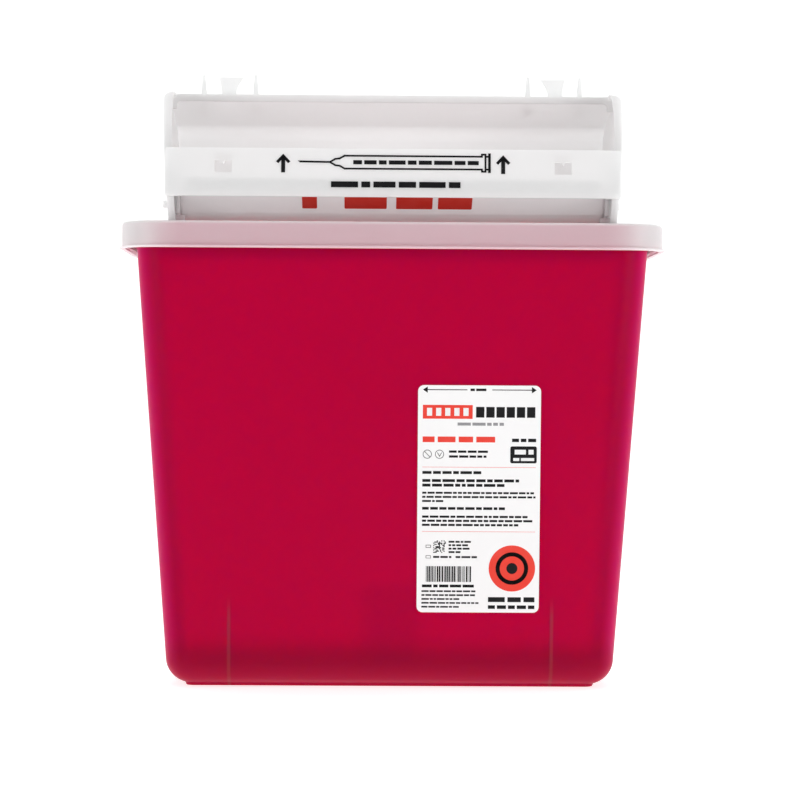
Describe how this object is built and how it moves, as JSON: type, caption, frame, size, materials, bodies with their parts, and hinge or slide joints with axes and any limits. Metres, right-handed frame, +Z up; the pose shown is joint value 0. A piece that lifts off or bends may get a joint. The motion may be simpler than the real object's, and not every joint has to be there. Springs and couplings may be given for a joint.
{
  "type": "sharps container",
  "caption": "Wall-mount sharps container: tapered red bin, push-on lid with a hood, and a drop tray that a front band lifts to tip used sharps in and to lock it shut",
  "frame": {"origin": "centre of the base, on the surface that the container stands on", "axes": "+Z up; +X to the right, along the width and the tray's pivot; the open front of the hood and the label face -Y, the wall is at +Y"},
  "size_m": [0.2768, 0.1248, 0.319],
  "materials": {
    "red_polypropylene": "satin, slightly translucent",
    "natural_polypropylene": "satin, milky translucent",
    "label_paper": "coated label stock"
  },
  "bodies": {
    "container": {"bin_body": "red_polypropylene", "lid_cover": "natural_polypropylene", "hood": "natural_polypropylene", "lock_tab_left": "natural_polypropylene", "lock_tab_right": "natural_polypropylene", "body_label": "label_paper"},
    "tray": {"drop_tray": "natural_polypropylene", "lift_band": "natural_polypropylene", "hinge_pin_left": "natural_polypropylene", "hinge_pin_right": "natural_polypropylene"}
  },
  "joints": [
    {"name": "tray_tip", "type": "hinge", "parent": "container", "child": "tray", "pos_m": [0, 0.007, 0.2487], "axis": [-1, 0, 0], "range_deg": [0, 82], "deforming": ["lock_tab_left", "lock_tab_right"]}
  ]
}
